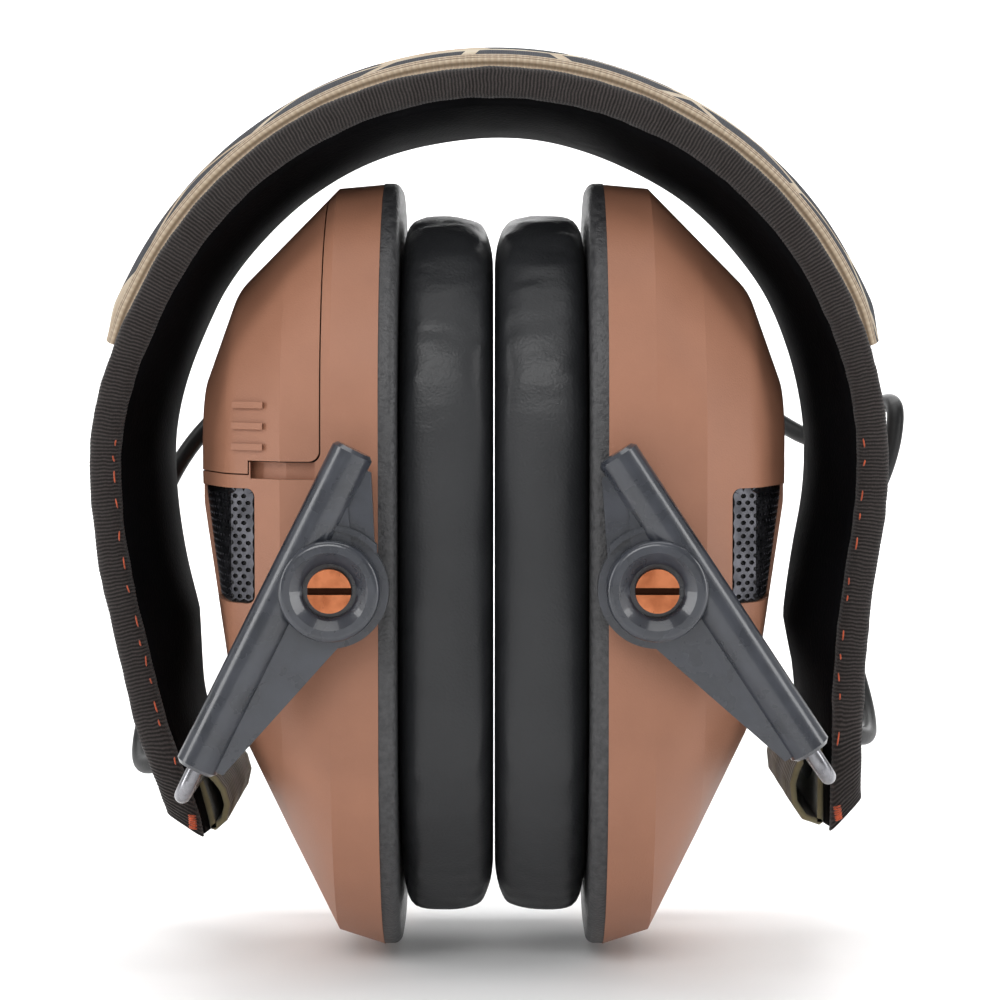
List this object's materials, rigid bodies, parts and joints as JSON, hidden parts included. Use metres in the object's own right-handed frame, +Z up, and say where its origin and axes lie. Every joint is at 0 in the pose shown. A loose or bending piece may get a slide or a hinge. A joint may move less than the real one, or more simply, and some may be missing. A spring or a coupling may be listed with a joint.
{
  "type": "folding electronic earmuff",
  "caption": "Folding electronic hearing protector: padded headband over two slim tapered ear cups, shown folded, cushions face to face",
  "frame": {"origin": "middle of the crown's underside, where the headband rests on the head", "axes": "+Z up, +X across the head, -Y the front that shows the arms and pivot screws"},
  "size_m": [0.1233, 0.0945, 0.132],
  "materials": {
    "cover_fabric": "printed stretch weave",
    "foam": "open cell foam",
    "lining_fabric": "smooth padded knit",
    "spring_steel": "blued strip",
    "cord_jacket": "satin cable jacket",
    "binding_tape": "ribbed tape",
    "webbing": "narrow webbing",
    "bail_steel": "polished wire",
    "arm_plastic": "dark satin plastic",
    "shell_plastic": "matte brown",
    "plate_plastic": "fine grain",
    "leatherette": "soft leatherette",
    "ear_cloth": "thin acoustic cloth",
    "electronics": "coated board",
    "metal_mesh": "perforated, dark",
    "copper_screw": "satin copper",
    "cell_jacket": "plain sleeve",
    "contact_metal": "sprung strip"
  },
  "bodies": {
    "crown": {"crown_cover": "cover_fabric", "crown_foam": "foam", "crown_lining": "lining_fabric", "crown_spring": "spring_steel", "crown_wire": "cord_jacket", "crown_front_binding": "binding_tape", "crown_rear_binding": "binding_tape"},
    "left_band": {"left_band_cover": "cover_fabric", "left_band_foam": "foam", "left_band_lining": "lining_fabric", "left_band_spring": "spring_steel", "left_band_wire": "cord_jacket", "left_band_front_binding": "binding_tape", "left_band_rear_binding": "binding_tape", "left_hinge_loop": "webbing", "left_lead_eyelet": "cord_jacket"},
    "left_bail": {"left_bail_wire": "bail_steel"},
    "left_yoke": {"left_front_arm": "arm_plastic", "left_rear_arm": "arm_plastic"},
    "left_cup": {"left_shell": "shell_plastic", "left_seal_plate": "plate_plastic", "left_cushion": "leatherette", "left_ear_cloth": "ear_cloth", "left_sound_liner": "foam", "left_speaker": "plate_plastic", "left_circuit_board": "electronics", "left_microphone": "plate_plastic", "left_mic_mesh": "metal_mesh", "left_pivot_screws": "copper_screw", "left_lead_grommet": "cord_jacket", "left_lead": "cord_jacket", "left_batteries": "cell_jacket", "left_battery_contacts": "contact_metal", "left_aux_jack": "plate_plastic"},
    "right_band": {"right_band_cover": "cover_fabric", "right_band_foam": "foam", "right_band_lining": "lining_fabric", "right_band_spring": "spring_steel", "right_band_wire": "cord_jacket", "right_band_front_binding": "binding_tape", "right_band_rear_binding": "binding_tape", "right_hinge_loop": "webbing", "right_lead_eyelet": "cord_jacket"},
    "right_bail": {"right_bail_wire": "bail_steel"},
    "right_yoke": {"right_front_arm": "arm_plastic", "right_rear_arm": "arm_plastic"},
    "right_cup": {"right_shell": "shell_plastic", "right_seal_plate": "plate_plastic", "right_cushion": "leatherette", "right_ear_cloth": "ear_cloth", "right_sound_liner": "foam", "right_speaker": "plate_plastic", "right_circuit_board": "electronics", "right_microphone": "plate_plastic", "right_mic_mesh": "metal_mesh", "right_pivot_screws": "copper_screw", "right_lead_grommet": "cord_jacket", "right_lead": "cord_jacket"},
    "battery_door": {"left_battery_door": "shell_plastic"},
    "volume_knob": {"left_volume_knob": "plate_plastic"}
  },
  "joints": [
    {"name": "left_flex", "type": "hinge", "parent": "crown", "child": "left_band", "pos_m": [-0.01873, 0, 0.00863], "axis": [0, 1, 0], "range_deg": [0, 41.75]},
    {"name": "left_fold", "type": "hinge", "parent": "left_band", "child": "left_bail", "pos_m": [-0.04265, 0, -0.09437], "axis": [0, 1, 0], "range_deg": [0, 82.5], "deforming": ["left_lead"]},
    {"name": "left_height", "type": "slide", "parent": "left_bail", "child": "left_yoke", "axis": [0.4462, 0, 0.8949], "range_m": [0, 0.0182]},
    {"name": "left_tilt", "type": "hinge", "parent": "left_yoke", "child": "left_cup", "pos_m": [-0.0222, 0, -0.0659], "axis": [0, 1, 0], "range_deg": [-124.25, 0]},
    {"name": "right_flex", "type": "hinge", "parent": "crown", "child": "right_band", "pos_m": [0.01873, 0, 0.00863], "axis": [0, -1, 0], "range_deg": [0, 39.5]},
    {"name": "right_fold", "type": "hinge", "parent": "right_band", "child": "right_bail", "pos_m": [0.04588, 0, -0.09174], "axis": [0, -1, 0], "range_deg": [0, 78], "deforming": ["right_lead"]},
    {"name": "right_height", "type": "slide", "parent": "right_bail", "child": "right_yoke", "axis": [-0.549, 0, 0.8358], "range_m": [0, 0.0182]},
    {"name": "right_tilt", "type": "hinge", "parent": "right_yoke", "child": "right_cup", "pos_m": [0.0222, 0, -0.0659], "axis": [0, -1, 0], "range_deg": [-117.5, 0]},
    {"name": "battery_door_release", "type": "slide", "parent": "left_cup", "child": "battery_door", "axis": [0, -1, 0], "range_m": [0, 0.0025]},
    {"name": "volume_turn", "type": "hinge", "parent": "left_cup", "child": "volume_knob", "pos_m": [-0.0228, 0, -0.0295], "axis": [0, 1, 0], "range_deg": [0, 270]}
  ],
  "couplings": [
    {"joint": "left_flex", "follows": "left_fold", "ratio": 0.5},
    {"joint": "left_height", "follows": "left_fold", "m_per_rad": 0.0125},
    {"joint": "left_tilt", "follows": "left_fold", "ratio": -1.5},
    {"joint": "right_flex", "follows": "right_fold", "ratio": 0.5},
    {"joint": "right_height", "follows": "right_fold", "m_per_rad": 0.0132},
    {"joint": "right_tilt", "follows": "right_fold", "ratio": -1.5}
  ]
}
